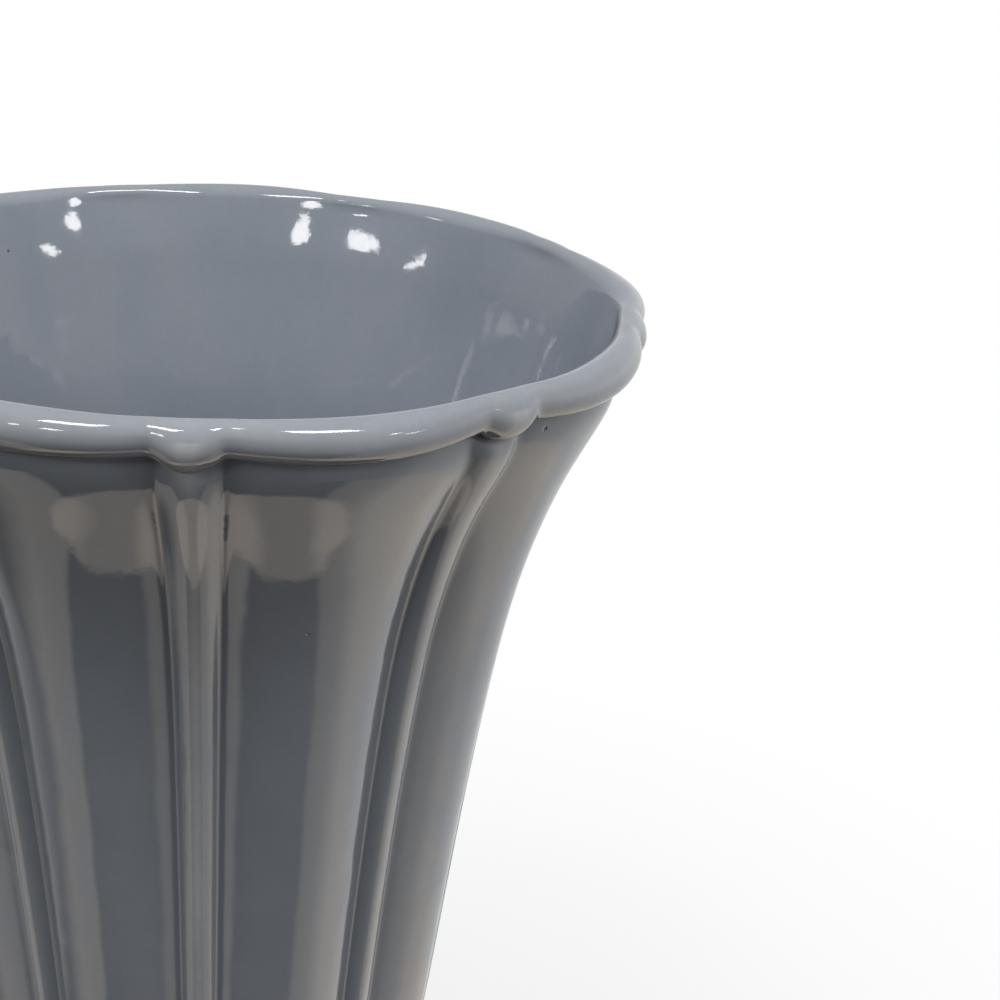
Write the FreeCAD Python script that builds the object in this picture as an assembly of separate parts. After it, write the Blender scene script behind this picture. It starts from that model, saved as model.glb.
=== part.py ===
import FreeCAD, Part
import math
import os

# Urn vase in glazed earthenware, in millimetres.
# The origin is the centre of the standing face, +Z is up, and one rib of the body faces -Y.
# A fluted trumpet body stands on a hollow, turned pedestal foot. The two are cast apart and
# joined with slip at the waist, where a ring of clay covers the joint.

# Number of panels round the body, with a narrow rib between each pair
LOBES = 9

# Pedestal foot
FOOT_RADIUS = 58.0
FOOT_ROLL_RADIUS = 5.0
FOOT_BEVEL = 1.0
FOOT_STEP_WIDTH = 4.0
FOOT_STEP_HEIGHT = 2.5
COVE_WIDTH = 22.0
COVE_DEPTH = 6.5
SHOULDER_HEIGHT = 42.0
FOOT_WALL = 6.0
STANDING_RING_WIDTH = 6.0
HOLLOW_TOP_RADIUS = 13.0
HOLLOW_TOP_WALL = 7.0

# Joint between the body and the foot: the neck on the foot, the body's spigot in it and the
# slip between them, and the clay ring around the neck
NECK_RADIUS = 20.0
NECK_HEIGHT = 7.0
SLIP_THICKNESS = 0.6
SPIGOT_RADIUS = 13.0
SPIGOT_DEPTH = 4.0
SPIGOT_GAP = 0.3
WAIST_RING_GAP = 0.3
WAIST_RING_BULGE = 6.0

# Body, up to the middle of its rolled lip
BODY_HEIGHT = 216.0
SEAT_RADIUS = 28.5
LIP_RADIUS = 86.5
GROOVE_WALL = 2.6
FLOOR_THICKNESS = 8.0
FLOOR_RADIUS = 22.0
FLOOR_ROUNDING = 7.0

# Panels and ribs: half the angle that a rib takes, how deep the grooves beside it lie below the
# panels as a share of the radius, and how deep its crest lies as a share of that
RIB_HALF_ANGLE_DEG = 4.4
GROOVE_SHARE = 0.085
CREST_SHARE = 0.62

# Where the handles of an arch stand, as a share of its half width: more makes squarer shoulders
SHOULDER_SHARE = 0.56

# Rolled lip: half its thickness on a panel, in the notch beside a rib and at the bead that ends
# the rib, and how far its middle moves there
LIP_HALF_THICKNESS = 4.1
NOTCH_HALF_THICKNESS = 3.4
BEAD_HALF_THICKNESS = 5.0
NOTCH_SETBACK = 2.8
NOTCH_RISE = 0.6
BEAD_SETBACK = 2.6
BEAD_DROP = 0.8

# Directions round the lip's section in degrees, from straight outward and upwards
LIP_START_PANEL_DEG = -105.0
LIP_START_NOTCH_DEG = -130.0
LIP_START_BEAD_DEG = -125.0
LIP_END_DEG = 172.0

# Bands that make up each curved surface, and the step of the body's outline where the lowest
# ring of its inside lies
OUTER_BANDS = 14
LIP_BANDS = 5
INNER_BANDS = 5
LOWEST_INNER_STEP = 2.0
COVE_BANDS = 3
ROLL_BANDS = 4
HOLLOW_BANDS = 2
WAIST_RING_BANDS = 3

# Outline of the body, upwards: radius as a share of the lip's, height as a share of the body's
# height above its seat, and how much of the full groove depth the section has
BODY_OUTLINE_SHARES = (
    (0.440, 0.030, 1.00),
    (0.555, 0.105, 1.00),
    (0.617, 0.205, 1.00),
    (0.692, 0.460, 1.00),
    (0.770, 0.676, 1.00),
    (0.831, 0.792, 0.92),
    (0.910, 0.884, 0.72),
    (0.989, 0.954, 0.50),
)

PITCH = math.radians(360.0 / LOBES)
RIB_HALF = math.radians(RIB_HALF_ANGLE_DEG)
PANEL_HALF = PITCH / 2.0 - RIB_HALF
NECK_TOP = SHOULDER_HEIGHT + NECK_HEIGHT
SEAT_Z = NECK_TOP + SLIP_THICKNESS
LIP_Z = SEAT_Z + BODY_HEIGHT
FLOOR_Z = SEAT_Z + FLOOR_THICKNESS
SOCKET_Z = SEAT_Z - SPIGOT_DEPTH - SPIGOT_GAP
FOOT_ROLL_TOP = FOOT_BEVEL + 2.0 * FOOT_ROLL_RADIUS
COVE_FOOT_RADIUS = FOOT_RADIUS - FOOT_ROLL_RADIUS - FOOT_STEP_WIDTH
COVE_FOOT_Z = FOOT_ROLL_TOP + FOOT_STEP_HEIGHT
SHOULDER_RADIUS = COVE_FOOT_RADIUS - COVE_WIDTH


def polar(radius, angle, height):
    """A point at a radius and an angle round the axis. Angle 0 is towards -Y."""
    return FreeCAD.Vector(radius * math.sin(angle), -radius * math.cos(angle), height)


def arch(middle_angle, half, side, crown):
    """A cubic arch over an angle, from its two ends and its crown, each as (radius, height)."""
    reach = (4.0 * crown[0] - side[0] * math.cos(half)) / 3.0
    aside = side[0] * math.sin(half) * SHOULDER_SHARE
    height = (4.0 * crown[1] - side[1]) / 3.0
    handle = math.hypot(reach, aside)
    turn = math.atan2(aside, reach)
    curve = Part.BezierCurve()
    curve.setPoles(
        [
            polar(side[0], middle_angle - half, side[1]),
            polar(handle, middle_angle - turn, height),
            polar(handle, middle_angle + turn, height),
            polar(side[0], middle_angle + half, side[1]),
        ]
    )
    return curve.toShape()


def fluted_ring(panel, groove, crest):
    """The closed wire of one section, from the (radius, height) of its panels, grooves and ribs."""
    edges = []
    for lobe in range(LOBES):
        rib_at = lobe * PITCH
        edges.append(arch(rib_at, RIB_HALF, groove, crest))
        edges.append(arch(rib_at + PITCH / 2.0, PANEL_HALF, groove, panel))
    return Part.Wire(edges)


def round_ring(radius, height):
    """The closed wire of a round section, with the same joints as a fluted one."""
    edges = []
    for lobe in range(LOBES):
        rib_at = lobe * PITCH
        for middle_angle, half in ((rib_at, RIB_HALF), (rib_at + PITCH / 2.0, PANEL_HALF)):
            first = polar(radius, middle_angle - half, height)
            middle = polar(radius, middle_angle, height)
            last = polar(radius, middle_angle + half, height)
            edges.append(Part.Arc(first, middle, last).toShape())
    return Part.Wire(edges)


def smooth_outline():
    """The body's outline as a curve through (radius, height, groove depth), one step to a point."""
    points = [FreeCAD.Vector(SEAT_RADIUS, SEAT_Z, SEAT_RADIUS * GROOVE_SHARE)]
    for radius_share, height_share, depth_share in BODY_OUTLINE_SHARES:
        radius = LIP_RADIUS * radius_share
        height = SEAT_Z + BODY_HEIGHT * height_share
        points.append(FreeCAD.Vector(radius, height, radius * GROOVE_SHARE * depth_share))
    curve = Part.BSplineCurve()
    curve.interpolate(Points=points, Parameters=[float(step) for step in range(len(points))])
    return curve


def lip_ring(share):
    """A section round the rolled lip, from under its outer edge (0) to its round inner side (1)."""
    evenness = share * share * share
    guides = []
    for middle, level, half, start in (
        (LIP_RADIUS, LIP_Z, LIP_HALF_THICKNESS, LIP_START_PANEL_DEG),
        (
            LIP_RADIUS - NOTCH_SETBACK,
            LIP_Z + NOTCH_RISE,
            NOTCH_HALF_THICKNESS,
            LIP_START_NOTCH_DEG,
        ),
        (
            LIP_RADIUS - BEAD_SETBACK,
            LIP_Z - BEAD_DROP,
            BEAD_HALF_THICKNESS,
            LIP_START_BEAD_DEG,
        ),
    ):
        turn = math.radians(start + (LIP_END_DEG - start) * share)
        middle += (LIP_RADIUS - middle) * evenness
        level += (LIP_Z - level) * evenness
        half += (LIP_HALF_THICKNESS - half) * evenness
        guides.append((middle + half * math.cos(turn), level + half * math.sin(turn)))
    return fluted_ring(guides[0], guides[1], guides[2])


def bands_between(rings):
    """The faces that span a row of sections."""
    return Part.makeLoft(rings, False, True).Faces


def closed_solid(faces):
    """A solid bounded by faces that meet edge to edge."""
    shell = Part.makeShell(faces)
    shell.sewShape()
    solid = Part.makeSolid(shell)
    if solid.Volume < 0:
        solid.reverse()
    return solid


def bowed(first, last, depth, bands):
    """Points along an arc between two points, its middle a depth to the right of the way there."""
    across = math.hypot(last[0] - first[0], last[1] - first[1])
    along = ((last[0] - first[0]) / across, (last[1] - first[1]) / across)
    half_turn = 2.0 * math.atan2(2.0 * depth, across)
    arc_radius = across / 2.0 / math.sin(half_turn)
    points = []
    for band in range(bands + 1):
        turn = half_turn * (2.0 * band / bands - 1.0)
        forward = arc_radius * math.sin(turn) + across / 2.0
        aside = arc_radius * (math.cos(turn) - math.cos(half_turn))
        points.append(
            (
                first[0] + along[0] * forward + along[1] * aside,
                first[1] + along[1] * forward - along[0] * aside,
            )
        )
    return points


def turned(points):
    """A solid of revolution from a closed outline of (radius, height) points."""
    corners = [FreeCAD.Vector(radius, 0, height) for radius, height in points]
    face = Part.Face(Part.makePolygon(corners + corners[:1]))
    return face.revolve(FreeCAD.Vector(0, 0, 0), FreeCAD.Vector(0, 0, 1), 360.0)


def make_fluted_body():
    """Trumpet body with its rolled and beaded lip, its hollow and the spigot under its floor."""
    outline = smooth_outline()
    last = outline.LastParameter

    outer = []
    for band in range(OUTER_BANDS + 1):
        radius, height, depth = outline.value(last * band / OUTER_BANDS)
        crest = radius - depth * CREST_SHARE
        outer.append(fluted_ring((radius, height), (radius - depth, height), (crest, height)))

    lip = [lip_ring(band / LIP_BANDS) for band in range(LIP_BANDS)]
    turn = math.radians(LIP_END_DEG)
    top_radius = LIP_RADIUS + LIP_HALF_THICKNESS * math.cos(turn)
    lip.append(round_ring(top_radius, LIP_Z + LIP_HALF_THICKNESS * math.sin(turn)))

    inner = [lip[-1]]
    for band in range(INNER_BANDS + 1):
        step = last + (LOWEST_INNER_STEP - last) * band / INNER_BANDS
        radius, height, depth = outline.value(step)
        inner.append(round_ring(radius - depth - GROOVE_WALL, height))
    inner.append(round_ring(FLOOR_RADIUS + FLOOR_ROUNDING, FLOOR_Z + FLOOR_ROUNDING / 2.0))
    inner.append(round_ring(FLOOR_RADIUS, FLOOR_Z))

    faces = bands_between(outer + lip[:1]) + bands_between(lip) + bands_between(inner)
    faces.append(Part.Face(outer[0]))
    faces.append(Part.Face(inner[-1]))
    spigot_end = FreeCAD.Vector(0, 0, SEAT_Z - SPIGOT_DEPTH)
    return closed_solid(faces).fuse(Part.makeCylinder(SPIGOT_RADIUS, SPIGOT_DEPTH, spigot_end))


def make_joining_slip():
    """The layer of slip between the neck and the body's seat, around the spigot."""
    return turned(
        [
            (SPIGOT_RADIUS, NECK_TOP),
            (NECK_RADIUS, NECK_TOP),
            (NECK_RADIUS, SEAT_Z),
            (SPIGOT_RADIUS, SEAT_Z),
        ]
    )


def make_waist_ring():
    """The clay ring that covers the joint, from the foot's shoulder up to the body's seat."""
    bore = NECK_RADIUS + WAIST_RING_GAP
    lower = (SHOULDER_RADIUS, SHOULDER_HEIGHT)
    upper = (SHOULDER_RADIUS, SEAT_Z)
    bulge = bowed(lower, upper, WAIST_RING_BULGE, WAIST_RING_BANDS)
    return turned([(bore, SHOULDER_HEIGHT)] + bulge + [(bore, SEAT_Z)])


def make_pedestal_foot():
    """The turned foot: neck with its socket, cove, step and rolled edge, hollow underneath."""
    socket = SPIGOT_RADIUS + SPIGOT_GAP
    roll_inner = FOOT_RADIUS - FOOT_ROLL_RADIUS
    ring_inner = roll_inner - FOOT_BEVEL - STANDING_RING_WIDTH
    roll = bowed(
        (roll_inner, FOOT_BEVEL), (roll_inner, FOOT_ROLL_TOP), FOOT_ROLL_RADIUS, ROLL_BANDS
    )
    shoulder = (SHOULDER_RADIUS, SHOULDER_HEIGHT)
    cove = bowed((COVE_FOOT_RADIUS, COVE_FOOT_Z), shoulder, -COVE_DEPTH, COVE_BANDS)
    hollow_edge = (COVE_FOOT_RADIUS - FOOT_WALL, FOOT_ROLL_TOP)
    hollow_top = (HOLLOW_TOP_RADIUS, SOCKET_Z - HOLLOW_TOP_WALL)
    hollow = bowed(hollow_top, hollow_edge, COVE_DEPTH, HOLLOW_BANDS)
    return turned(
        [(0, hollow_top[1])]
        + hollow
        + [(ring_inner, 0), (roll_inner - FOOT_BEVEL, 0)]
        + roll
        + [(COVE_FOOT_RADIUS, FOOT_ROLL_TOP)]
        + cove
        + [(NECK_RADIUS, SHOULDER_HEIGHT), (NECK_RADIUS, NECK_TOP)]
        + [(socket, NECK_TOP), (socket, SOCKET_Z), (0, SOCKET_Z)]
    )


def write(name, shape):
    """Save one piece and print what it measures."""
    shape.exportStep(os.path.join("parts", name + ".step"))
    box = shape.BoundBox
    print(
        f"{name}: valid {shape.isValid()}, solids {len(shape.Solids)}, faces {len(shape.Faces)}, "
        f"volume {shape.Volume / 1000.0:.1f} cm3, z {box.ZMin:.2f} to {box.ZMax:.2f}, "
        f"x {box.XMin:.2f} to {box.XMax:.2f}"
    )


os.makedirs("parts", exist_ok=True)
write("fluted_body", make_fluted_body())
write("waist_ring", make_waist_ring())
write("joining_slip", make_joining_slip())
write("pedestal_foot", make_pedestal_foot())
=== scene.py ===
"""Looks of a fluted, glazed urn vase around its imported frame.

The body is one smooth fluted surface, the waist ring and the foot are turned surfaces, and each
takes the place of its CAD node. Lengths in the classes are millimetres unless a class says
otherwise, and they become metres when a mesh is made.
"""

import enum
import logging
import math
from dataclasses import dataclass, field
from typing import Sequence

import bpy
import numpy as np
from mathutils import Matrix


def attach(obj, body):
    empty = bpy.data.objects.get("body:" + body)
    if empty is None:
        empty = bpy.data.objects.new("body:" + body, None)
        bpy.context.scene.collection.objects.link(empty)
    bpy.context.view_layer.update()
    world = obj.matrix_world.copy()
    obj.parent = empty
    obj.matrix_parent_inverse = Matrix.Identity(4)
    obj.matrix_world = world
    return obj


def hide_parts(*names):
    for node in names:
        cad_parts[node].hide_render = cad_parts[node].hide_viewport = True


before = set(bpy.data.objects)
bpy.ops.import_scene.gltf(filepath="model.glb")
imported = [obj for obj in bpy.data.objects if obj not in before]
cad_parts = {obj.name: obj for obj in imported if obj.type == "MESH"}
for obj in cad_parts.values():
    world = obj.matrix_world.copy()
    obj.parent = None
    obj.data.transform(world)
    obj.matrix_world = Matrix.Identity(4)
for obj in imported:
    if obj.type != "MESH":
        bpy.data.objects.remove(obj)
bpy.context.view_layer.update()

LOG = logging.getLogger("urn_vase")
METRES = 0.001

Pair = tuple[float, float]
Triple = tuple[float, float, float]
Stops = Sequence[Pair]
Socket = bpy.types.NodeSocket
Value = Socket | float | tuple[float, ...]


class Finish(enum.Enum):
    """Which of the object's finishes a surface has."""

    GLAZE = "glaze"
    BARE_CLAY = "bare_clay"


def smooth_rows(points: np.ndarray, steps: np.ndarray) -> np.ndarray:
    """Natural cubic spline through rows of numbers that lie one step apart.

    The second differences at the rows solve a band of equations (1, 4, 1), with none at the ends,
    and each piece between two rows is the cubic that they give.

    Args:
        points: one row per guide, any number of columns.
        steps: where to read the curve, 0 at the first row.

    Returns:
        One row per step.
    """
    count = len(points)
    band = np.eye(count)
    inner = np.arange(1, count - 1)
    band[inner, inner - 1] = 1.0
    band[inner, inner] = 4.0
    band[inner, inner + 1] = 1.0
    right = np.zeros_like(points)
    right[inner] = 6.0 * (points[inner - 1] - 2.0 * points[inner] + points[inner + 1])
    bend = np.linalg.solve(band, right)
    low = np.clip(np.floor(steps).astype(int), 0, count - 2)
    share = (steps - low)[:, None]
    rest = 1.0 - share
    return (
        rest * points[low]
        + share * points[low + 1]
        + (rest**3 - rest) * bend[low] / 6.0
        + (share**3 - share) * bend[low + 1] / 6.0
    )


def rounded_profile(corners: Sequence[Triple], steps: int = 6) -> np.ndarray:
    """A line of (radius, height) points whose corners are rounded.

    Each corner gives way to a parabola that leaves one side and joins the other at the corner's
    own reach, so the line stays smooth.

    Args:
        corners: radius, height and reach of the rounding of each corner.
        steps: points in each rounding.

    Returns:
        An array of (radius, height) rows.
    """
    spots = np.array(corners, dtype=float)
    place, reach = spots[:, :2], spots[:, 2]
    back = np.roll(place, 1, axis=0) - place
    ahead = np.roll(place, -1, axis=0) - place
    back[0] = 0.0
    ahead[-1] = 0.0
    back /= np.maximum(np.linalg.norm(back, axis=1, keepdims=True), 1e-9)
    ahead /= np.maximum(np.linalg.norm(ahead, axis=1, keepdims=True), 1e-9)
    turn = np.linspace(0.0, 1.0, steps)[None, :, None]
    start = (place + back * reach[:, None])[:, None, :]
    end = (place + ahead * reach[:, None])[:, None, :]
    middle = place[:, None, :]
    curve = (1 - turn) ** 2 * start + 2 * (1 - turn) * turn * middle + turn**2 * end
    line = curve.reshape(-1, 2)
    keep = np.ones(len(line), dtype=bool)
    keep[1:] = np.linalg.norm(np.diff(line, axis=0), axis=1) > 1e-4
    return line[keep]


def arc(middle: Pair, reach: Pair, turns: Pair, count: int, rounding: float) -> list[Triple]:
    """Corners along a part of an ellipse.

    Each corner is the middle plus the reach times the cosine of its turn outward and the sine of
    it upward.

    Args:
        middle: radius and height of the ellipse's middle.
        reach: half its width and half its height.
        turns: the turns of the first and the last corner, in radians.
        count: the number of corners.
        rounding: the reach of each corner's rounding.

    Returns:
        Corners as (radius, height, rounding).
    """
    return [
        (middle[0] + reach[0] * math.cos(turn), middle[1] + reach[1] * math.sin(turn), rounding)
        for turn in np.linspace(*turns, count)
    ]


def grid_mesh(
    name: str, grid: np.ndarray, marks: dict[str, np.ndarray], close_start: bool, close_end: bool
) -> bpy.types.Object:
    """A smooth object from a grid of points that is closed around its columns.

    Each face joins a point to the next column and the next row. A closed end is a fan of faces
    from the middle of its row.

    Args:
        name: the object's name.
        grid: points as (row, column, 3), in millimetres.
        marks: numbers for each point of the grid, kept as attributes for the materials.
        close_start: whether the first row is closed.
        close_end: whether the last row is closed.

    Returns:
        The new object, at the origin.
    """
    rows, columns = grid.shape[:2]
    points = grid.reshape(-1, 3)
    here = np.arange(columns)
    beside = (here + 1) % columns
    row = (np.arange(rows - 1) * columns)[:, None]
    quads = np.stack(
        [row + here, row + beside, row + columns + beside, row + columns + here], axis=-1
    ).reshape(-1, 4)
    faces = quads.tolist()
    values = {key: value.reshape(-1) for key, value in marks.items()}
    last = (rows - 1) * columns
    for closed, first, ends_up in ((close_start, 0, False), (close_end, last, True)):
        if not closed:
            continue
        middle = len(points)
        ring = points[first : first + columns]
        points = np.vstack([points, ring.mean(axis=0)])
        values = {key: np.append(value, value[first]) for key, value in values.items()}
        pair = (here, beside) if ends_up else (beside, here)
        fan = np.stack([first + pair[0], first + pair[1], np.full(columns, middle)], axis=-1)
        faces += fan.tolist()
    mesh = bpy.data.meshes.new(name)
    mesh.from_pydata((points * METRES).tolist(), [], faces)
    mesh.polygons.foreach_set("use_smooth", np.ones(len(mesh.polygons), dtype=bool))
    for key, value in values.items():
        layer = mesh.attributes.new(key, "FLOAT", "POINT")
        layer.data.foreach_set("value", value.astype(np.float32))
    mesh.update()
    piece = bpy.data.objects.new(name, mesh)
    bpy.context.scene.collection.objects.link(piece)
    return piece


def stand(data: bpy.types.ID, axes: np.ndarray, place: Sequence[float]) -> bpy.types.Object:
    """Puts a camera or a lamp into the scene.

    Args:
        data: the camera's or lamp's data, which also gives the name.
        axes: its own x, y and z axes as columns.
        place: where it stands, in metres.

    Returns:
        The new object.
    """
    holder = bpy.data.objects.new(data.name, data)
    rows = [[*map(float, axes[i]), float(place[i])] for i in range(3)]
    holder.matrix_world = Matrix(rows + [[0.0, 0.0, 0.0, 1.0]])
    bpy.context.scene.collection.objects.link(holder)
    return holder


@dataclass(frozen=True)
class Noise:
    """A noise texture: its waves in a metre, its finer layers and how strong they are."""

    scale: float
    detail: float
    roughness: float


@dataclass(frozen=True)
class Relief:
    """How much a texture tilts a surface: a share, and the height it stands for in metres."""

    strength: float
    height: float


@dataclass
class NodeTree:
    """Shorthand for building a shader from nodes."""

    tree: bpy.types.NodeTree

    @classmethod
    def of(cls, holder: bpy.types.Material | bpy.types.World) -> "NodeTree":
        """The emptied node tree of a material or world.

        Args:
            holder: the material or world.

        Returns:
            Its tree.
        """
        holder.use_nodes = True
        holder.node_tree.nodes.clear()
        return cls(holder.node_tree)

    def add(
        self, kind: str, sockets: dict[str, object] | None = None, **settings: object
    ) -> bpy.types.Node:
        """Adds a node.

        Args:
            kind: the node's type name.
            sockets: values of its input sockets by name.
            settings: the node's own properties.

        Returns:
            The new node.
        """
        node = self.tree.nodes.new(kind)
        for key, value in settings.items():
            setattr(node, key, value)
        for key, value in (sockets or {}).items():
            node.inputs[key].default_value = value
        return node

    def feed(self, value: Value, target: Socket) -> None:
        """Gives an input its value.

        Args:
            value: a fixed value, or the output that the value comes from.
            target: the input.
        """
        if isinstance(value, Socket):
            self.tree.links.new(value, target)
        else:
            target.default_value = value

    def joined(self, node: bpy.types.Node, *values: Value) -> Socket:
        """Feeds the first inputs of a node.

        Args:
            node: the node.
            values: what its inputs take, in their order.

        Returns:
            The node's first output.
        """
        for value, target in zip(values, node.inputs):
            self.feed(value, target)
        return node.outputs[0]

    def product(self, first: Value, second: Value) -> Socket:
        """The product of two values."""
        return self.joined(self.add("ShaderNodeMath", operation="MULTIPLY"), first, second)

    def noise(self, kind: Noise, place: Socket) -> Socket:
        """A noise between 0 and 1.

        Args:
            kind: the noise's scale, detail and roughness.
            place: the point that it is read at.

        Returns:
            The output with the noise.
        """
        sockets = {"Scale": kind.scale, "Detail": kind.detail, "Roughness": kind.roughness}
        node = self.add("ShaderNodeTexNoise", sockets)
        self.feed(place, node.inputs["Vector"])
        return node.outputs["Fac"]

    def bump(
        self, relief: Relief, height: Socket, under: Socket | None = None, **settings: object
    ) -> Socket:
        """A surface tilted by a texture.

        Args:
            relief: how much it is tilted.
            height: the texture.
            under: the normal that it starts from, or None for the mesh's own.
            settings: the bump node's own properties.

        Returns:
            The output with the normal.
        """
        sockets = {"Strength": relief.strength, "Distance": relief.height}
        node = self.add("ShaderNodeBump", sockets, **settings)
        self.feed(height, node.inputs["Height"])
        if under is not None:
            self.feed(under, node.inputs["Normal"])
        return node.outputs["Normal"]

    def spread(
        self, source: Socket, start: float, end: float, low: float = 0.0, high: float = 1.0
    ) -> Socket:
        """A value that goes evenly from low to high while the source goes from start to end."""
        sockets = {"From Min": start, "From Max": end, "To Min": low, "To Max": high}
        return self.joined(self.add("ShaderNodeMapRange", sockets), source)

    def ramp(self, source: Socket, stops: Stops) -> Socket:
        """A gray value that follows a source through a few stops.

        Args:
            source: the value that it follows.
            stops: each stop's place and value.

        Returns:
            The output with the gray value.
        """
        node = self.add("ShaderNodeValToRGB")
        points = node.color_ramp.elements
        while len(points) < len(stops):
            points.new(0.5)
        for point, (place, value) in zip(points, stops):
            point.position = place
            point.color = (value, value, value, 1.0)
        return self.joined(node, source)

    def mixed(self, share: Value, first: Value, second: Value, blend: str = "MIX") -> Socket:
        """A colour between two colours.

        Args:
            share: how much of the second colour there is.
            first: the first colour.
            second: the second colour.
            blend: the way of mixing.

        Returns:
            The output with the colour.
        """
        node = self.add("ShaderNodeMix", data_type="RGBA", blend_type=blend)
        colours = [socket for socket in node.inputs if socket.type == "RGBA"]
        for value, target in zip((share, first, second), (node.inputs["Factor"], *colours)):
            self.feed(value, target)
        return next(socket for socket in node.outputs if socket.type == "RGBA")

    def blended(self, share: Socket, first: Socket, second: Socket) -> Socket:
        """A shader between two shaders, by the share of the second one."""
        return self.joined(self.add("ShaderNodeMixShader"), share, first, second)


@dataclass(frozen=True)
class GlossGlaze:
    """Blue-gray gloss glaze, paler where it thins on ridges and darker where it pools in grooves;
    painted highlight on rib crests, painted shade in grooves.
    """

    name: str = "blue_gray_glaze"
    body: Triple = (0.325, 0.352, 0.395)
    # Paler tone of thin glaze; on the rib crests it is mostly a painted highlight.
    thin_and_highlight: Triple = (0.63, 0.64, 0.65)
    # Darker tone of pooled glaze; in the grooves it is partly painted shade.
    pooled_and_shade: Triple = (0.20, 0.225, 0.262)
    streak: Triple = (0.285, 0.318, 0.368)
    speck: Triple = (0.085, 0.08, 0.085)
    refraction: float = 1.62
    roughness_low: float = 0.035
    roughness_high: float = 0.08
    run_scale: Triple = (60.0, 60.0, 7.0)
    runs: Noise = Noise(1.0, 3.0, 0.55)
    run_stops: Stops = ((0.36, 0.0), (0.68, 0.75))
    clouds: Noise = Noise(28.0, 4.0, 0.6)
    patch_stops: Stops = ((0.30, 0.45), (0.62, 1.0))
    grain: Noise = Noise(700.0, 2.0, 0.5)
    grain_stops: Stops = ((0.42, 0.06), (0.60, 0.0))
    pit_scale: float = 95.0
    pit_stops: Stops = ((0.035, 1.0), (0.06, 0.0))
    rare_stops: Stops = ((0.945, 0.0), (0.955, 1.0))
    waves: Noise = Noise(55.0, 2.0, 0.45)
    swell: Relief = Relief(0.30, 0.0011)
    peel: Relief = Relief(0.05, 0.0002)
    hole: Relief = Relief(0.6, 0.0005)

    def colour(self, nodes: NodeTree, place: Socket, clouds: Socket, grain: Socket) -> Socket:
        """The glaze's colour without its pits. It reads a pale mark, thin glaze and a painted
        highlight on rib crests, and a dark mark, pooled glaze and painted shade in grooves.

        Args:
            nodes: the material's nodes.
            place: the point on the surface.
            clouds: the wide noise.
            grain: the fine noise.

        Returns:
            The output with the colour.
        """
        drips = nodes.add("ShaderNodeMapping", {"Scale": self.run_scale})
        runs = nodes.noise(self.runs, nodes.joined(drips, place))
        streaked = nodes.ramp(runs, self.run_stops)
        colour = nodes.mixed(streaked, (*self.body, 1.0), (*self.streak, 1.0))
        # Paler where the glaze thins; on the rib crests this is mostly a painted highlight.
        thin_and_highlight = nodes.add("ShaderNodeAttribute", attribute_name="thin_and_highlight").outputs["Fac"]
        patchy = nodes.product(thin_and_highlight, nodes.ramp(clouds, self.patch_stops))
        colour = nodes.mixed(patchy, colour, (*self.thin_and_highlight, 1.0))
        # Darker where glaze pools in the grooves, and partly painted shade there.
        pooled_and_shade = nodes.add("ShaderNodeAttribute", attribute_name="pooled_and_shade").outputs["Fac"]
        colour = nodes.mixed(pooled_and_shade, colour, (*self.pooled_and_shade, 1.0))
        grained = nodes.ramp(grain, self.grain_stops)
        return nodes.mixed(grained, colour, (*self.pooled_and_shade, 1.0))

    def pits(self, nodes: NodeTree, place: Socket) -> Socket:
        """Small round pits in a few of many cells.

        Args:
            nodes: the material's nodes.
            place: the point on the surface.

        Returns:
            The output that is 1 in a pit and 0 outside.
        """
        cells = nodes.add("ShaderNodeTexVoronoi", {"Scale": self.pit_scale, "Randomness": 1.0})
        nodes.feed(place, cells.inputs["Vector"])
        near = nodes.ramp(cells.outputs["Distance"], self.pit_stops)
        chosen = nodes.joined(nodes.add("ShaderNodeSeparateColor"), cells.outputs["Color"])
        return nodes.product(near, nodes.ramp(chosen, self.rare_stops))

    def material(self) -> bpy.types.Material:
        """Builds the glaze, with its colour, gloss and relief.

        Returns:
            The material.
        """
        made = bpy.data.materials.new(self.name)
        nodes = NodeTree.of(made)
        out = nodes.add("ShaderNodeOutputMaterial")
        shader = nodes.add("ShaderNodeBsdfPrincipled", {"IOR": self.refraction})
        place = nodes.add("ShaderNodeTexCoord").outputs["Object"]
        clouds = nodes.noise(self.clouds, place)
        grain = nodes.noise(self.grain, place)
        pits = self.pits(nodes, place)
        colour = self.colour(nodes, place, clouds, grain)
        colour = nodes.mixed(pits, colour, (*self.speck, 1.0))
        dull = nodes.spread(clouds, 0.0, 1.0, self.roughness_low, self.roughness_high)
        normal = nodes.bump(self.swell, nodes.noise(self.waves, place))
        normal = nodes.bump(self.peel, grain, normal)
        normal = nodes.bump(self.hole, pits, normal, invert=True)
        nodes.feed(colour, shader.inputs["Base Color"])
        nodes.feed(dull, shader.inputs["Roughness"])
        nodes.feed(normal, shader.inputs["Normal"])
        nodes.feed(shader.outputs["BSDF"], out.inputs["Surface"])
        return made


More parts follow.
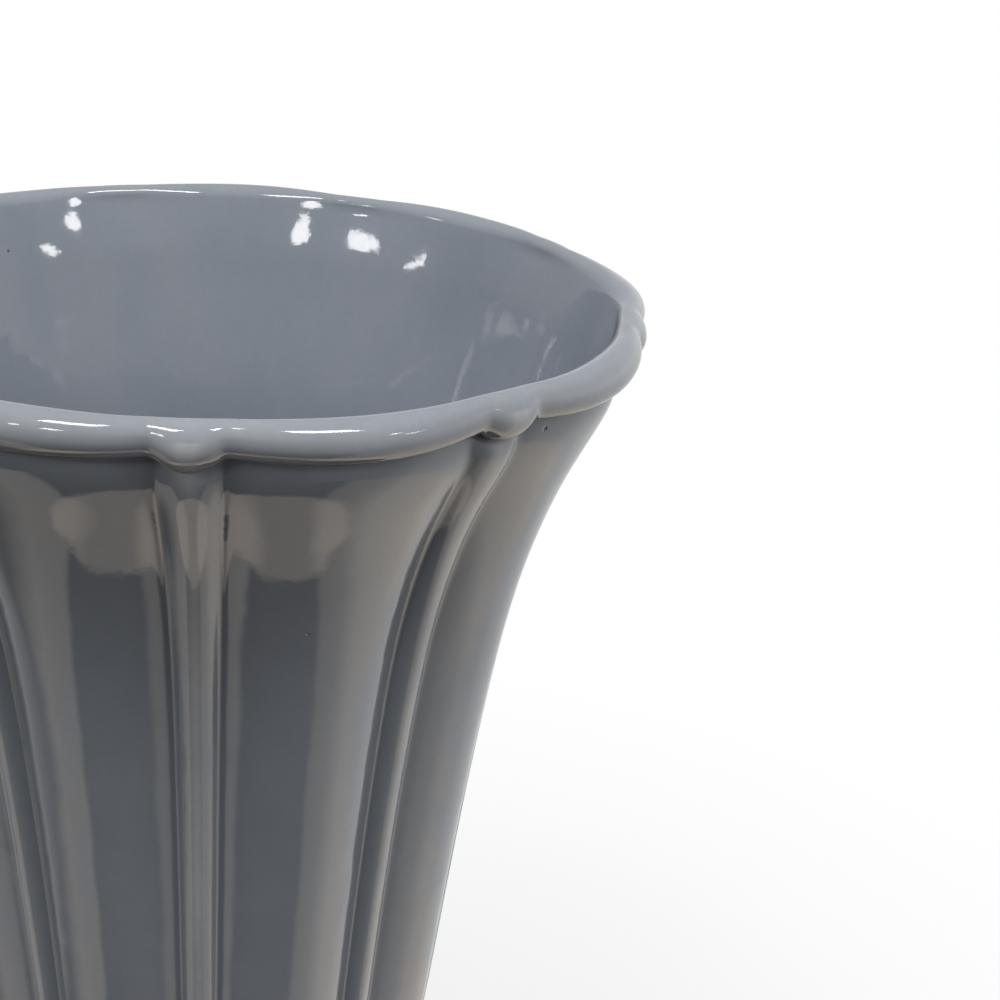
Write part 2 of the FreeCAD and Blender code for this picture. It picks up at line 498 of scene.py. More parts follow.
@dataclass(frozen=True)
class BareClay:
    """Buff fired clay, matt and slightly gritty, where there is no glaze."""

    name: str = "bare_fired_clay"
    pale: Triple = (0.60, 0.54, 0.46)
    dark: Triple = (0.43, 0.37, 0.30)
    roughness: float = 0.85
    grit: Noise = Noise(900.0, 4.0, 0.7)
    grit_stops: Stops = ((0.40, 0.35), (0.60, 0.0))
    stains: Noise = Noise(45.0, 3.0, 0.6)
    stain_stops: Stops = ((0.38, 0.0), (0.70, 0.8))
    rough: Relief = Relief(0.35, 0.0003)

    def material(self) -> bpy.types.Material:
        """Builds the clay on object coordinates.

        Returns:
            The material.
        """
        made = bpy.data.materials.new(self.name)
        nodes = NodeTree.of(made)
        out = nodes.add("ShaderNodeOutputMaterial")
        shader = nodes.add("ShaderNodeBsdfPrincipled", {"Roughness": self.roughness})
        place = nodes.add("ShaderNodeTexCoord").outputs["Object"]
        grit = nodes.noise(self.grit, place)
        stained = nodes.ramp(nodes.noise(self.stains, place), self.stain_stops)
        colour = nodes.mixed(stained, (*self.pale, 1.0), (*self.dark, 1.0))
        colour = nodes.mixed(nodes.ramp(grit, self.grit_stops), colour, (*self.dark, 1.0))
        nodes.feed(colour, shader.inputs["Base Color"])
        nodes.feed(nodes.bump(self.rough, grit), shader.inputs["Normal"])
        nodes.feed(shader.outputs["BSDF"], out.inputs["Surface"])
        return made


@dataclass(frozen=True)
class Palette:
    """The finished materials by finish."""

    made: dict[Finish, bpy.types.Material] = field(
        default_factory=lambda: {
            Finish.GLAZE: GlossGlaze().material(),
            Finish.BARE_CLAY: BareClay().material(),
        }
    )

    def dress(self, piece: bpy.types.Object, *finishes: Finish) -> None:
        """Gives a piece its finishes.

        Args:
            piece: the object.
            finishes: what its material slots hold, in their order.
        """
        piece.data.materials.clear()
        for finish in finishes:
            piece.data.materials.append(self.made[finish])

    def dress_node(self, node: str, finish: Finish) -> None:
        """Gives a CAD node that stays in view one finish."""
        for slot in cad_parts[node].material_slots:
            slot.material = self.made[finish]


@dataclass
class FlutedBody:
    """The cast body: nine pillowed panels with a rib between each pair, and the rolled lip.

    A level section is a ring of arches. Each arch is a cubic through two groove points, with
    handles that put its crown at a given radius, so panels and ribs swell between sharp grooves.
    The outline's rows are shares of the lip's radius, of the height and of the groove's depth,
    and the lip's triples are for panel, groove and rib. A wave on the wall is its size, count
    round the axis, slant and start, and one on the lip is its count and start.
    """

    lobes: int = 9
    rib_half_deg: float = 4.1
    groove_share: float = 0.085
    crest_share: float = 0.46
    shoulder_share: float = 0.42
    seat_radius: float = 28.5
    seat_z: float = 49.6
    seat_inner_share: float = 0.84
    height: float = 216.0
    lip_radius: float = 86.5
    outline: tuple[Triple, ...] = (
        (0.440, 0.030, 1.00),
        (0.555, 0.105, 1.00),
        (0.617, 0.205, 1.00),
        (0.692, 0.460, 1.00),
        (0.770, 0.676, 1.00),
        (0.831, 0.792, 0.92),
        (0.910, 0.884, 0.72),
        (0.989, 0.954, 0.50),
    )
    lip_half: Triple = (4.1, 3.5, 4.7)
    lip_out: Triple = (-0.1, -2.7, -2.5)
    lip_up: Triple = (-0.4, 0.2, -1.0)
    lip_start_deg: Triple = (-105.0, -130.0, -125.0)
    lip_end_deg: float = 158.0
    wall: float = 5.2
    lip_root: float = 1.8
    inside_wave_share: float = 0.16
    inside_fade_rows: float = 6.0
    inside_fade_height: float = 60.0
    floor_z: float = 57.6
    floor_radius: float = 22.0
    floor_rounding: float = 7.0
    spigot_radius: float = 13.0
    spigot_depth: float = 4.0
    spigot_edge: float = 0.6
    spigot_root: float = 0.4
    outer_rows: int = 112
    lip_rows: int = 46
    inner_rows: int = 52
    rib_columns: int = 14
    panel_columns: int = 37
    crowding: float = 0.65
    groove_passes: int = 4
    groove_ease: float = 1.2
    most_ease: float = 0.6
    seam_passes: int = 3
    seam_rows: float = 2.0
    wave_room: float = 2.2
    wall_sway: float = 0.0007
    wall_waves: Sequence[tuple[float, ...]] = (
        (1.0, 3.0, 0.021, 0.6),
        (0.7, 5.0, -0.034, 2.1),
        (0.5, 11.0, 0.05, 4.0),
    )
    lip_dip: float = 0.12
    lip_waves: Sequence[Pair] = ((7.0, 1.0), (13.0, 2.5))
    mark_power: int = 6
    # Share of the pale tone on rib crests: mostly a painted highlight, partly thin glaze.
    thin_and_highlight_on_ribs: float = 0.85
    thin_on_lip: float = 0.36
    # Share of the dark tone in grooves: partly pooled glaze, partly painted shade.
    pooled_and_shade_in_grooves: float = 0.7
    drained_on_lip: float = 0.7

    @property
    def pitch(self) -> float:
        """The angle of one lobe."""
        return 2.0 * math.pi / self.lobes

    def lip(self) -> np.ndarray:
        """Guide lines that turn round the lip's middle line.

        Panel, groove and rib each start at their own place and thickness, and all end at the
        panel's.

        Returns:
            Rows of (panel, groove, crest), each as (radius, height).
        """
        turn_share = np.linspace(0.0, 1.0, self.lip_rows)[:, None]
        half, out, up = (
            own + (own[:, :1] - own) * turn_share**3
            for own in map(np.atleast_2d, (self.lip_half, self.lip_out, self.lip_up))
        )
        start = np.atleast_2d(self.lip_start_deg)
        turn = np.radians(start + (self.lip_end_deg - start) * turn_share)
        lip_z = self.seat_z + self.height
        return np.stack(
            [self.lip_radius + out + half * np.cos(turn), lip_z + up + half * np.sin(turn)], axis=2
        )

    def guides(self) -> tuple[np.ndarray, np.ndarray]:
        """Guide lines of the surface: radius and height of panel, groove and rib on each row.

        Returns:
            Rows of (panel, groove, crest) as (radius, height), and how far round the lip each
            row lies: 0 on the walls and 1 on top of the lip.
        """
        shares = np.array(self.outline)
        radius = np.append(self.seat_radius, self.lip_radius * shares[:, 0])
        level = np.append(self.seat_z, self.seat_z + self.height * shares[:, 1])
        depth = radius * self.groove_share * np.append(1.0, shares[:, 2])
        wall = np.stack(
            [radius, level, radius - depth, level, radius - depth * self.crest_share, level], axis=1
        )
        lip = self.lip()
        outer_points = np.vstack([wall, lip[:1].reshape(1, 6)])
        steps = np.linspace(0.0, len(outer_points) - 1.0, self.outer_rows)
        outer = smooth_rows(outer_points, steps).reshape(-1, 3, 2)

        inside = wall[:1:-1].copy()
        inside[0, 0::2] -= self.lip_root
        inside[:, 0::2] = inside[:, :1] - self.wall
        rounding = self.floor_radius + self.floor_rounding
        low = [rounding, self.floor_z + self.floor_rounding / 2.0] * 3
        floor = [self.floor_radius, self.floor_z] * 3
        inner_points = np.vstack([lip[-1:].reshape(1, 6), inside, [low], [floor]])
        steps = np.linspace(0.0, len(inner_points) - 1.0, self.inner_rows)
        inner = smooth_rows(inner_points, steps).reshape(-1, 3, 2)

        rows = np.concatenate([outer, lip[1:-1], inner])
        on_lip = np.zeros(len(rows))
        over = np.sin(np.linspace(0.0, math.pi, self.lip_rows))[1:-1] ** 0.5
        on_lip[len(outer) : len(outer) + len(over)] = over
        return rows, on_lip

    def arch(
        self, side: np.ndarray, crown: np.ndarray, half: float, share: np.ndarray
    ) -> tuple[np.ndarray, np.ndarray, np.ndarray]:
        """Points of one arch on every row.

        The cubic's ends lie at the groove's radius half an arch to each side, and its two handles
        stand so far out that its middle is the crown.

        Args:
            side: radius and height of the grooves, by row.
            crown: radius and height of the crown, by row.
            half: half the angle of the arch.
            share: places along the arch, 0 to 1.

        Returns:
            Distance across, distance outward and height of the points, each (row, place).
        """
        edge, sag = side[:, :1], side[:, 1:]
        reach = (4.0 * crown[:, :1] - edge * math.cos(half)) / 3.0
        aside = edge * math.sin(half) * self.shoulder_share
        lift = (4.0 * crown[:, 1:] - sag) / 3.0
        ends = (1.0 - share) ** 3, share**3
        handles = 3.0 * (1.0 - share) ** 2 * share, 3.0 * (1.0 - share) * share**2
        across = (ends[1] - ends[0]) * edge * math.sin(half) + (handles[1] - handles[0]) * aside
        outward = (ends[0] + ends[1]) * edge * math.cos(half) + (handles[0] + handles[1]) * reach
        level = (ends[0] + ends[1]) * sag + (handles[0] + handles[1]) * lift
        return across, outward, level

    def lobe(self, rows: np.ndarray) -> tuple[np.ndarray, np.ndarray, np.ndarray]:
        """A rib and the panel after it. Their columns crowd towards the grooves.

        Args:
            rows: the guide lines.

        Returns:
            Points as (row, column, 3), how near each column is to a rib's crest, and how near it
            is to a groove, both from 0 to 1.
        """
        panel, groove, crest = rows[:, 0], rows[:, 1], rows[:, 2]
        rib_half = math.radians(self.rib_half_deg)
        parts, crests, grooves = [], [], []
        for middle, half, crown, columns, is_rib in (
            (0.0, rib_half, crest, self.rib_columns, 1.0),
            (self.pitch / 2.0, self.pitch / 2.0 - rib_half, panel, self.panel_columns, 0.0),
        ):
            even = np.arange(columns) / columns
            crowded = 0.5 - 0.5 * np.cos(math.pi * even)
            share = (1.0 - self.crowding) * even + self.crowding * crowded
            across, outward, level = self.arch(groove, crown, half, share)
            x = outward * math.sin(middle) + across * math.cos(middle)
            y = -outward * math.cos(middle) + across * math.sin(middle)
            parts.append(np.stack([x, y, level], axis=-1))
            swell = np.sin(math.pi * share)
            crests.append(is_rib * swell**self.mark_power)
            grooves.append((1.0 - swell) ** self.mark_power)
        return np.concatenate(parts, axis=1), np.concatenate(crests), np.concatenate(grooves)

    def around(self, lobe: np.ndarray) -> np.ndarray:
        """The lobe turned round the axis, once for each lobe.

        Args:
            lobe: points as (row, column, 3).

        Returns:
            The whole ring as (row, column, 3).
        """
        turns = np.arange(self.lobes) * self.pitch
        cos, sin = np.cos(turns)[:, None], np.sin(turns)[:, None]
        x, y, level = (lobe[:, None, :, axis] for axis in range(3))
        turned = x * cos - y * sin, x * sin + y * cos
        z = np.broadcast_to(level, turned[0].shape)
        return np.stack([*turned, z], axis=-1).reshape(len(lobe), -1, 3)

    def ease(self, grid: np.ndarray, edge: np.ndarray) -> None:
        """Eases the grooves, as glaze fills them, and the seam between the wall and the lip.

        A point moves a share of the way to the middle of its two neighbours, a few times over.

        Args:
            grid: the points, changed in place.
            edge: how near each column is to a groove, as (1, column).
        """
        share = np.clip(edge[..., None] * self.groove_ease, 0.0, self.most_ease)
        for _ in range(self.groove_passes):
            beside = (np.roll(grid, 1, axis=1) + np.roll(grid, -1, axis=1)) / 2.0
            grid += (beside - grid) * share
        away = (np.arange(len(grid)) - self.outer_rows + 1) / self.seam_rows
        seam = np.exp(-(away**2))[1:-1, None, None]
        for _ in range(self.seam_passes):
            grid[1:-1] += ((grid[2:] + grid[:-2]) / 2.0 - grid[1:-1]) * self.most_ease * seam

    def loosen(self, grid: np.ndarray, on_lip: np.ndarray) -> None:
        """Carries faint lobes down the inside and gives wall and lip a cast pot's unevenness.

        Args:
            grid: the points, changed in place.
            on_lip: how far round the lip each row lies.
        """
        angle = np.arctan2(grid[..., 0], -grid[..., 1])
        level = grid[..., 2]
        past_lip = np.arange(len(grid)) - len(grid) + self.inner_rows
        inside = np.clip(past_lip / self.inside_fade_rows, 0.0, 1.0)
        inside *= np.clip((level[:, 0] - self.floor_z) / self.inside_fade_height, 0.0, 1.0)
        lobes = 0.5 + 0.5 * np.cos(self.lobes * angle)
        depth = self.groove_share * self.inside_wave_share * lobes
        grid[..., :2] *= (1.0 - inside[:, None] * depth)[..., None]
        sway = sum(
            size * np.sin(count * angle + level * slant + start)
            for size, count, slant, start in self.wall_waves
        )
        grid[..., :2] *= (1.0 - self.wall_sway * (self.wave_room + sway))[..., None]
        waves = (np.sin(count * angle + start) for count, start in self.lip_waves)
        grid[..., 2] -= self.lip_dip * on_lip[:, None] * sum(waves, self.wave_room)

    def surface(self) -> tuple[np.ndarray, dict[str, np.ndarray]]:
        """The whole surface as a grid, from the seat up, over the lip and down to the floor.

        Returns:
            The grid of points, and two marks for the glaze: paler thin glaze with a painted
            highlight on rib crests, and darker pooled glaze with painted shade in grooves.
        """
        rows, on_lip = self.guides()
        lobe, crests, grooves = self.lobe(rows)
        grid = self.around(lobe)
        edge = np.tile(grooves, self.lobes)[None, :]
        self.ease(grid, edge)
        self.loosen(grid, on_lip)
        ribs = np.tile(crests, self.lobes)[None, :]
        top = on_lip[:, None]
        lip_top = self.outer_rows + self.lip_rows // 2
        outside = (np.arange(len(rows)) < lip_top)[:, None] * 1.0
        # Paler on the rib crests, mostly a painted highlight there, and on the lip where the glaze
        # thins.
        thin_and_highlight = self.thin_and_highlight_on_ribs * ribs * outside + self.thin_on_lip * top
        # Darker in the grooves: partly pooled glaze, partly painted shade.
        pooled_and_shade = self.pooled_and_shade_in_grooves * edge * (1.0 - self.drained_on_lip * top) * outside
        return grid, {"thin_and_highlight": np.clip(thin_and_highlight, 0.0, 1.0), "pooled_and_shade": np.clip(pooled_and_shade, 0.0, 1.0)}

    def build(self, palette: Palette) -> bpy.types.Object:
        """Makes the body, its underside and its spigot in one closed mesh.

        Args:
            palette: the finished materials.

        Returns:
            The object that stands for the CAD node.
        """
        grid, marks = self.surface()
        angle = np.arctan2(grid[0, :, 0], -grid[0, :, 1])
        ring = np.stack([np.sin(angle), -np.cos(angle), np.zeros(len(angle))], axis=-1)
        spigot_z = self.seat_z - self.spigot_depth
        foot = [
            ring * radius + np.array([0.0, 0.0, level])
            for radius, level in (
                (self.spigot_radius - self.spigot_edge, spigot_z),
                (self.spigot_radius, spigot_z + self.spigot_edge),
                (self.spigot_radius, self.seat_z - self.spigot_root),
                (self.spigot_radius + self.spigot_edge, self.seat_z),
                (self.seat_radius * self.seat_inner_share, self.seat_z),
            )
        ]
        grid = np.concatenate([np.stack(foot), grid])
        marks = {
            key: np.vstack([np.repeat(mark[:1], len(foot), axis=0), mark])
            for key, mark in marks.items()
        }
        piece = grid_mesh("fluted_body_glazed", grid, marks, close_start=True, close_end=True)
        palette.dress(piece, Finish.GLAZE)
        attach(piece, "root")
        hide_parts("fluted_body")
        return piece


@dataclass
class TurnedPiece:
    """A piece thrown on the wheel: a profile of rounded corners carried round the axis.

    Faces below bare_below are bare clay. A closed loop has no end on the axis. A wave is its
    count round the axis and its start.
    """

    name: str
    node: str
    slot_name: str
    bare_below: float
    closed_loop: bool
    columns: int = 288
    wobble: float = 0.0006
    waves: Sequence[Pair] = ((2.0, 0.7), (5.0, 0.0))
    thin_on_turns: float = 1.5
    most_thin: float = 0.8

    def corners(self) -> Sequence[Triple]:
        """The profile as (radius, height, rounding), anticlockwise, so that faces point outward."""
        raise NotImplementedError

    def build(self, palette: Palette) -> bpy.types.Object:
        """Makes the piece. Every row is the profile's point turned round the axis.

        Each row is drawn in and out a little, as a thrown pot is, and the glaze is thin where
        the profile turns sharply.

        Args:
            palette: the finished materials.

        Returns:
            The object that stands for the CAD node.
        """
        line = rounded_profile(self.corners())
        if self.closed_loop:
            line = np.vstack([line, line[:1]])
        angle = np.arange(self.columns) * 2.0 * math.pi / self.columns
        waves = (np.sin(count * angle + start) * 0.5 for count, start in self.waves)
        radius = line[:, :1] * (1.0 - self.wobble * sum(waves, 1.0))[None, :]
        level = np.repeat(line[:, 1:], self.columns, axis=1)
        grid = np.stack([radius * np.sin(angle), -radius * np.cos(angle), level], axis=-1)
        slope = np.gradient(line[:, 0]), np.gradient(line[:, 1])
        turn = np.abs(np.gradient(np.unwrap(np.arctan2(slope[1], slope[0]))))
        thin_and_highlight = np.clip(turn[:, None] * self.thin_on_turns, 0.0, self.most_thin)
        marks = {"thin_and_highlight": np.repeat(thin_and_highlight, self.columns, axis=1), "pooled_and_shade": np.zeros(level.shape)}
        piece = grid_mesh(self.name, grid, marks, not self.closed_loop, not self.closed_loop)
        palette.dress(piece, Finish.GLAZE, Finish.BARE_CLAY)
        middles = np.empty(len(piece.data.polygons) * 3)
        piece.data.polygons.foreach_get("center", middles)
        bare = (middles.reshape(-1, 3)[:, 2] < self.bare_below * METRES).astype(np.int32)
        piece.data.polygons.foreach_set("material_index", bare)
        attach(piece, "root")
        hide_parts(self.node)
        return piece


@dataclass
class WaistRing(TurnedPiece):
    """The ring of clay round the neck, with a half-round outside."""

    name: str = "waist_ring_glazed"
    node: str = "waist_ring"
    slot_name: str = "waist_glaze"
    bare_below: float = -1.0
    closed_loop: bool = True
    bore: float = 20.3
    bottom_z: float = 42.0
    top_z: float = 49.6
    bulge_radius: float = 27.0
    bulge: float = 5.7
    bulge_corners: int = 15
    bulge_rounding: float = 0.4
    bore_rounding: float = 0.2

    def corners(self) -> Sequence[Triple]:
        """The bore's lower corner, the bulge from below to above, and the bore's upper corner.

        Returns:
            Corners as (radius, height, rounding).
        """
        middle = (self.bulge_radius, (self.top_z + self.bottom_z) / 2.0)
        reach = (self.bulge, (self.top_z - self.bottom_z) / 2.0)
        turns = (-math.pi / 2.0, math.pi / 2.0)
        return (
            (self.bore, self.bottom_z, self.bore_rounding),
            *arc(middle, reach, turns, self.bulge_corners, self.bulge_rounding),
            (self.bore, self.top_z, self.bore_rounding),
        )


@dataclass
class PedestalFoot(TurnedPiece):
    """The hollow foot: neck with its socket, cove, step, rolled edge and standing ring."""

    name: str = "pedestal_foot_glazed"
    node: str = "pedestal_foot"
    slot_name: str = "foot_glaze"
    bare_below: float = 0.9
    closed_loop: bool = False
    chamfer: float = 0.6
    edge_rounding: float = 0.3
    step_rounding: float = 0.4
    roll_rounding: float = 0.5
    curve_rounding: float = 0.6
    axis_gap: float = 1.0
    socket_radius: float = 13.3
    socket_z: float = 45.3
    neck_radius: float = 20.0
    neck_z: float = 49.0
    shoulder_z: float = 42.0
    cove_reach: Pair = (22.0, 28.5)
    cove_start: float = 0.02
    cove_corners: int = 12
    step_radius: float = 49.0
    step_z: float = 12.0
    step_height: float = 1.0
    roll_middle: Pair = (53.0, 6.0)
    roll_radius: float = 4.9
    roll_corners: int = 13
    ring_inner: float = 46.0
    ring_outer: float = 51.6
    hollow_z: float = 38.3
    hollow_flat: float = 12.5
    hollow_middle: float = 43.0
    hollow_reach: Pair = (30.0, 27.3)
    hollow_start: float = 0.05
    hollow_corners: int = 9

    def corners(self) -> Sequence[Triple]:
        """The hollow from the axis out, the standing ring, the outside up, and the socket.

        Returns:
            Corners as (radius, height, rounding).
        """
        down, inward = -math.pi / 2.0, -math.pi
        crisp, soft, edge = self.edge_rounding, self.step_rounding, self.chamfer
        middle, turns = (self.hollow_middle, self.hollow_z), (inward + self.hollow_start, down)
        hollow = arc(middle, self.hollow_reach, turns, self.hollow_corners, self.curve_rounding)
        middle, turns = (self.step_radius, self.shoulder_z), (down - self.cove_start, inward)
        cove = arc(middle, self.cove_reach, turns, self.cove_corners, self.curve_rounding)
        reach, turns = (self.roll_radius, self.roll_radius), (down, -down)
        roll = arc(self.roll_middle, reach, turns, self.roll_corners, self.roll_rounding)
        return (
            (self.axis_gap, self.hollow_z, 0.0),
            (self.hollow_flat, self.hollow_z, crisp),
            *hollow,
            (self.ring_inner, edge, self.roll_rounding),
            (self.ring_inner + edge, 0.0, crisp),
            (self.ring_outer, 0.0, crisp),
            *roll,
            (self.step_radius + edge, self.step_z - self.step_height, soft),
            (self.step_radius, self.step_z, soft),
            *cove,
            (self.neck_radius + edge, self.shoulder_z, soft),
            (self.neck_radius, self.shoulder_z + edge, soft),
            (self.neck_radius, self.neck_z - edge, crisp),
            (self.neck_radius - edge, self.neck_z, crisp),
            (self.socket_radius + edge, self.neck_z, crisp),
            (self.socket_radius, self.neck_z - edge, crisp),
            (self.socket_radius, self.socket_z, crisp),
            (self.axis_gap, self.socket_z, 0.0),
        )


@dataclass
class Studio:
    """Floor, lamps, surroundings and camera.

    The camera's lengths are millimetres, and those of lamps and floor are metres. Walls, low room
    and near table give the brightness by the bearing in degrees, 0 at the vase's front. A level
    is the height of a direction of length 1.
    """

    rim_z: float = 265.6
    camera_distance: float = 387.0
    camera_elevation_deg: float = 16.20
    camera_azimuth_deg: float = 3.47
    focal_pixels: float = 1832.0
    rim_pixel: Pair = (220.3, 294.6)
    roll: float = 0.0163
    frame_pixels: float = 1000.0
    sensor_width: float = 36.0
    clip: Pair = (0.01, 60.0)
    walls: Stops = (
        (-180.0, 0.76), (-130.0, 0.42), (-100.0, 0.10), (-72.0, 0.04), (10.0, 0.03),
        (34.0, 0.30), (54.0, 0.42), (80.0, 1.05), (115.0, 1.15), (150.0, 0.90),
        (180.0, 0.76),
    )
    low_room: Stops = (
        (-180.0, 0.06), (-110.0, 0.10), (-85.0, 0.75), (-53.0, 0.75), (-46.0, 0.03),
        (34.0, 0.04), (41.0, 0.62), (62.0, 0.85), (85.0, 1.45), (135.0, 1.30),
        (180.0, 0.06),
    )
    near_table: Stops = (
        (-180.0, 0.30), (-95.0, 0.60), (-80.0, 1.50), (-48.0, 1.40), (-26.0, 0.80),
        (26.0, 0.85), (46.0, 1.60), (100.0, 1.80), (150.0, 1.20), (180.0, 0.30),
    )
    near_tint: Triple = (1.0, 0.86, 0.72)
    low_tint: Triple = (1.0, 0.91, 0.80)
    ceiling: Triple = (0.35, 0.36, 0.375)
    ceiling_levels: Stops = ((0.08, 0.0), (0.45, 1.0))
    low_levels: Pair = (-0.64, -0.68)
    near_levels: Pair = (-0.910, -0.924)
    floor_tone: Triple = (0.11, 0.095, 0.08)
    floor_white: Triple = (0.97, 0.97, 0.97)
    floor_side: float = 9.0
    fade_reach: Pair = (0.08, 0.36)
    fade_share: float = 0.72
    table_reach: float = 0.12
    overhead_x: Pair = (-0.36, 0.34)
    overhead_y: float = -0.5
    overhead_z: float = 1.45
    overhead_aim: Triple = (0.0, 0.0, 0.25)
    overhead_size: Pair = (0.42, 0.22)
    overhead_brightness: float = 16.5
    lamp_brightness: float = 12.0
    mouth: Triple = (0.0, 0.05, 0.26)
    round_lamps: tuple[tuple[Triple, Pair], ...] = (
        ((1.32, -1.03, 1.23), (0.20, 0.13)),
        ((1.55, -0.97, 0.97), (0.26, 0.07)),
        ((-0.81, -1.47, 1.23), (0.26, 0.24)),
        ((-1.16, -1.16, 1.29), (0.11, 0.20)),
        ((-1.49, -0.37, 1.47), (0.16, 0.12)),
        ((-1.60, -0.85, 0.94), (0.34, 0.06)),
    )

    def camera(self) -> None:
        """Places the camera so that the rim's middle falls on its pixel.

        The view is first aimed at the rim's middle and rolled about that line, then turned by
        the angle between the picture's middle and the rim's pixel.
        """
        elevation = math.radians(self.camera_elevation_deg)
        azimuth = math.radians(self.camera_azimuth_deg)
        flat = math.cos(elevation)
        back = np.array([math.sin(azimuth) * flat, -math.cos(azimuth) * flat, math.sin(elevation)])
        place = np.array([0.0, 0.0, self.rim_z]) + back * self.camera_distance
        ahead = -back
        right = np.cross(ahead, [0.0, 0.0, 1.0])
        right /= np.linalg.norm(right)
        down = np.cross(ahead, right)
        cos_roll, sin_roll = math.cos(self.roll), math.sin(self.roll)
        roll = np.array([[cos_roll, -sin_roll, 0.0], [sin_roll, cos_roll, 0.0], [0.0, 0.0, 1.0]])
        aside, below = (pixel - self.frame_pixels / 2.0 for pixel in self.rim_pixel)
        to_pixel = np.array([aside, below, self.focal_pixels])
        to_pixel /= np.linalg.norm(to_pixel)
        axis = np.cross([0.0, 0.0, 1.0], to_pixel)
        turn = Matrix.Rotation(math.asin(float(np.linalg.norm(axis))), 3, tuple(axis))
        view = np.array(turn) @ (roll @ np.stack([right, down, ahead]))
        lens = bpy.data.cameras.new("photo_camera")
        lens.sensor_width = self.sensor_width
        lens.lens = self.focal_pixels * self.sensor_width / self.frame_pixels
        lens.clip_start, lens.clip_end = self.clip
        axes = np.stack([view[0], -view[1], -view[2]], axis=1)
        bpy.context.scene.camera = stand(lens, axes, place * METRES)

    def lamp(
        self,
        name: str,
        place: Triple,
        aim: Triple,
        size: Pair,
        brightness: float,
        shape: str = "RECTANGLE",
    ) -> None:
        """Adds a white area lamp of a given brightness of its face.

        Its power is the brightness times pi times its area.

        Args:
            name: the lamp's name.
            place: where it stands.
            aim: the point that it faces.
            size: its width and height.
            brightness: radiance of its face, where 1 is white.
            shape: RECTANGLE or ELLIPSE.
        """
        light = bpy.data.lights.new(name, "AREA")
        light.shape = shape
        light.size, light.size_y = size
        area = size[0] * size[1] * (math.pi / 4.0 if shape == "ELLIPSE" else 1.0)
        light.energy = brightness * math.pi * area
        away = np.array(place) - np.array(aim)
        away /= np.linalg.norm(away)
        side = np.cross([0.0, 0.0, 1.0], away)
        side /= np.linalg.norm(side)
        stand(light, np.stack([side, np.cross(away, side), away], axis=1), place)

    def lamps(self) -> None:
        """Two long lamps overhead and small round ones that show in the glaze inside the mouth."""
        for number, x in enumerate(self.overhead_x):
            place = (x, self.overhead_y, self.overhead_z)
            name = f"overhead_box_{number}"
            self.lamp(name, place, self.overhead_aim, self.overhead_size, self.overhead_brightness)
        for number, (place, size) in enumerate(self.round_lamps):
            name = f"round_lamp_{number}"
            self.lamp(name, place, self.mouth, size, self.lamp_brightness, "ELLIPSE")

    def room(self, nodes: NodeTree) -> Socket:
        """The room's colour by direction.

        The walls go by bearing and turn into a soft ceiling above. Below eye level they give way
        to a dimmer low room, and further down to a bright, warm table near the vase.

        Args:
            nodes: the world's nodes.

        Returns:
            The output with the colour.
        """
        way = nodes.add("ShaderNodeTexCoord").outputs["Generated"]
        parts = nodes.add("ShaderNodeSeparateXYZ")
        nodes.joined(parts, way)
        level = parts.outputs["Z"]
        ahead = nodes.product(parts.outputs["Y"], -1.0)
        turn = nodes.add("ShaderNodeMath", operation="ARCTAN2")
        bearing = nodes.spread(nodes.joined(turn, parts.outputs["X"], ahead), -math.pi, math.pi)

        def by_bearing(stops: Stops) -> Socket:
            """The gray value that follows the bearing through stops of (degrees, value)."""
            return nodes.ramp(bearing, [((at + 180.0) / 360.0, value) for at, value in stops])

        high = nodes.ramp(level, self.ceiling_levels)
        colour = nodes.mixed(high, by_bearing(self.walls), (*self.ceiling, 1.0))
        for stops, tint, levels in (
            (self.low_room, self.low_tint, self.low_levels),
            (self.near_table, self.near_tint, self.near_levels),
        ):
            tinted = nodes.mixed(1.0, by_bearing(stops), (*tint, 1.0), "MULTIPLY")
            colour = nodes.mixed(nodes.spread(level, *levels), colour, tinted)
        return colour

    def surroundings(self) -> None:
        """Plain white to the camera, and the room for every other ray."""
        world = bpy.data.worlds.new("white_room")
        nodes = NodeTree.of(world)
        out = nodes.add("ShaderNodeOutputWorld")
        room = nodes.joined(nodes.add("ShaderNodeBackground"), self.room(nodes))
        white = nodes.joined(nodes.add("ShaderNodeBackground"), (1.0, 1.0, 1.0, 1.0))
        seen = nodes.add("ShaderNodeLightPath").outputs["Is Camera Ray"]
        nodes.feed(nodes.blended(seen, room, white), out.inputs["Surface"])
        bpy.context.scene.world = world

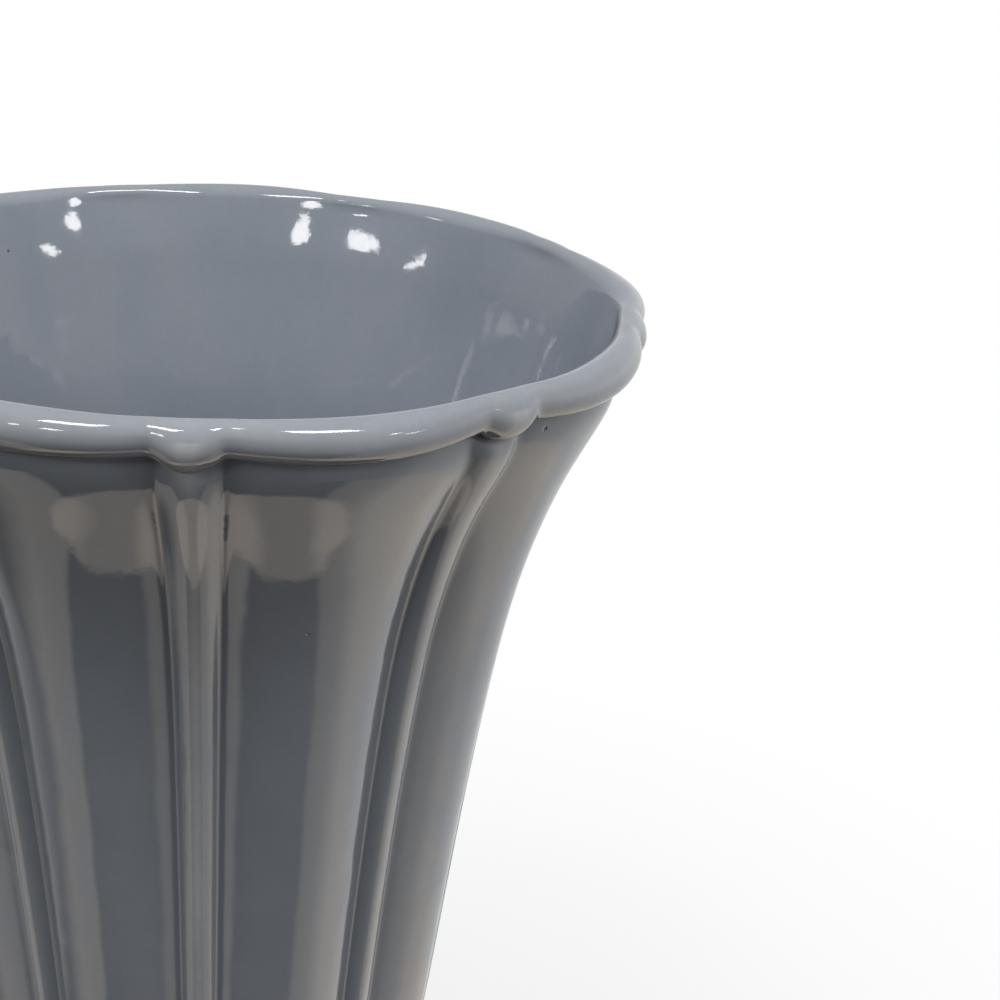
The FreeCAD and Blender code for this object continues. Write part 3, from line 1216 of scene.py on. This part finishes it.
    def cloth(self) -> bpy.types.Material:
        """The floor's material.

        It keeps the object's shadow. The camera sees it nearly white and fading into the white
        surroundings, other rays see a dark cloth, and past the table's reach it doesn't show in
        the glaze.

        Returns:
            The material.
        """
        made = bpy.data.materials.new("pale_floor")
        nodes = NodeTree.of(made)
        out = nodes.add("ShaderNodeOutputMaterial")
        path = nodes.add("ShaderNodeLightPath")
        seen = path.outputs["Is Camera Ray"]
        tone = nodes.mixed(seen, (*self.floor_tone, 1.0), (*self.floor_white, 1.0))
        cloth = nodes.joined(nodes.add("ShaderNodeBsdfDiffuse"), tone)
        glow = nodes.joined(nodes.add("ShaderNodeEmission"), (1.0, 1.0, 1.0, 1.0), 1.0)
        spot = nodes.add("ShaderNodeTexCoord").outputs["Object"]
        length = nodes.add("ShaderNodeVectorMath", operation="LENGTH")
        nodes.joined(length, spot)
        away = length.outputs["Value"]
        faded = nodes.product(nodes.spread(away, *self.fade_reach, self.fade_share), seen)
        surface = nodes.blended(faded, cloth, glow)
        compare = nodes.add("ShaderNodeMath", operation="GREATER_THAN")
        past = nodes.joined(compare, away, self.table_reach)
        unseen = nodes.product(past, path.outputs["Is Glossy Ray"])
        clear = nodes.add("ShaderNodeBsdfTransparent").outputs["BSDF"]
        nodes.feed(nodes.blended(unseen, surface, clear), out.inputs["Surface"])
        return made

    def floor(self) -> None:
        """A wide plain floor under the vase."""
        side = self.floor_side
        corners = [(-side, -side, 0.0), (side, -side, 0.0), (side, side, 0.0), (-side, side, 0.0)]
        mesh = bpy.data.meshes.new("floor")
        mesh.from_pydata(corners, [], [(0, 1, 2, 3)])
        mesh.materials.append(self.cloth())
        plane = bpy.data.objects.new("floor", mesh)
        bpy.context.scene.collection.objects.link(plane)

    def build(self) -> None:
        """Sets up the whole studio."""
        bpy.context.scene.view_settings.view_transform = "Standard"
        self.surroundings()
        self.floor()
        self.lamps()
        self.camera()


def main() -> None:
    """Builds the vase piece by piece, then the studio."""
    logging.basicConfig(level=logging.INFO, format="%(message)s")
    palette = Palette()
    for builder in (FlutedBody(), WaistRing(), PedestalFoot()):
        piece = builder.build(palette)
        points, faces = len(piece.data.vertices), len(piece.data.polygons)
        LOG.info("%s: %d points, %d faces", piece.name, points, faces)
    palette.dress_node("joining_slip", Finish.BARE_CLAY)
    LOG.info("joining_slip: dressed as bare clay")
    Studio().build()


if __name__ == "__main__":
    main()
